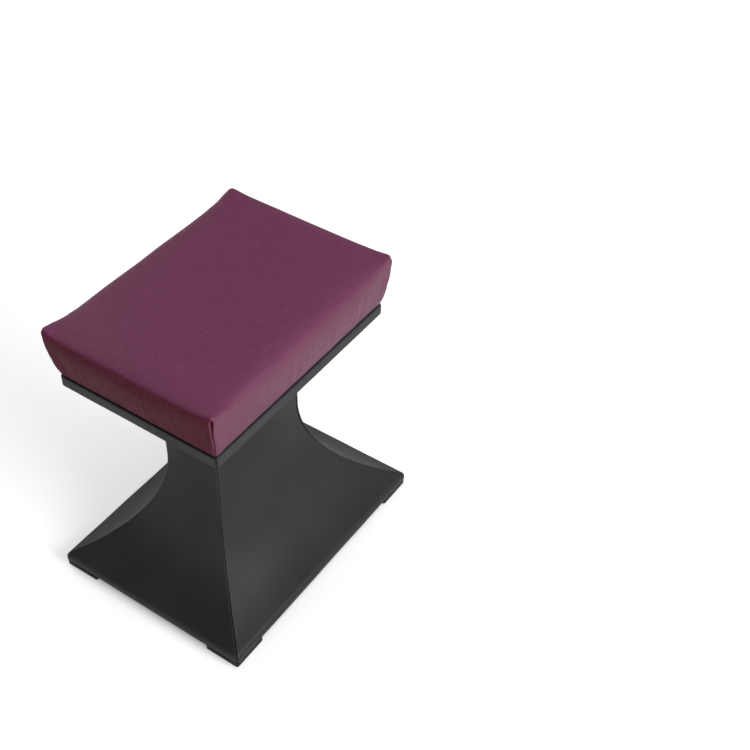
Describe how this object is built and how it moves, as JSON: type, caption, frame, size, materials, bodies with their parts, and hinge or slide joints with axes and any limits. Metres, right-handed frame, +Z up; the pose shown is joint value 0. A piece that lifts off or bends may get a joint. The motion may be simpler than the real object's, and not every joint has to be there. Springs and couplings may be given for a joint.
{
  "type": "shoe fitting stool",
  "caption": "Low rectangular stool with a tapered box cushion on a leather-covered hourglass pedestal that flares to a thin deck above and a flat base below, on corner pads.",
  "frame": {"origin": "on the floor, under the centre of the base", "axes": "+X along the long side, +Y along the short side towards the back, +Z up"},
  "size_m": [0.429, 0.3274, 0.4615],
  "materials": {
    "silk": "plum slub satin, soft sheen",
    "wadding": "white polyester wadding",
    "foam": "open-cell foam",
    "leather": "smooth black, semi-matt",
    "plywood": "birch plywood, unfinished",
    "bending_plywood": "bending plywood, unfinished",
    "zinc_steel": "zinc plated",
    "pad": "moulded, matt black",
    "cloth": "black non-woven"
  },
  "bodies": {
    "root": {"back_leather": "leather", "back_left_foot": "pad", "back_left_hip_rib": "plywood", "back_long_former": "plywood", "back_right_foot": "pad", "back_right_hip_rib": "plywood", "back_skin": "bending_plywood", "back_underlay": "foam", "base_plate": "plywood", "base_screws": "zinc_steel", "bottom_cloth": "cloth", "deck_board": "plywood", "deck_screws": "zinc_steel", "foot_screws": "zinc_steel", "front_leather": "leather", "front_left_foot": "pad", "front_left_hip_rib": "plywood", "front_long_former": "plywood", "front_right_foot": "pad", "front_right_hip_rib": "plywood", "front_skin": "bending_plywood", "front_underlay": "foam", "left_cross_former": "plywood", "left_leather": "leather", "left_skin": "bending_plywood", "left_underlay": "foam", "right_cross_former": "plywood", "right_leather": "leather", "right_skin": "bending_plywood", "right_underlay": "foam", "seat_board": "plywood", "seat_bolts": "zinc_steel", "seat_cover": "silk", "seat_foam": "foam", "seat_tee_nuts": "zinc_steel", "seat_wadding": "wadding", "seat_washers": "zinc_steel"}
  },
  "joints": []
}
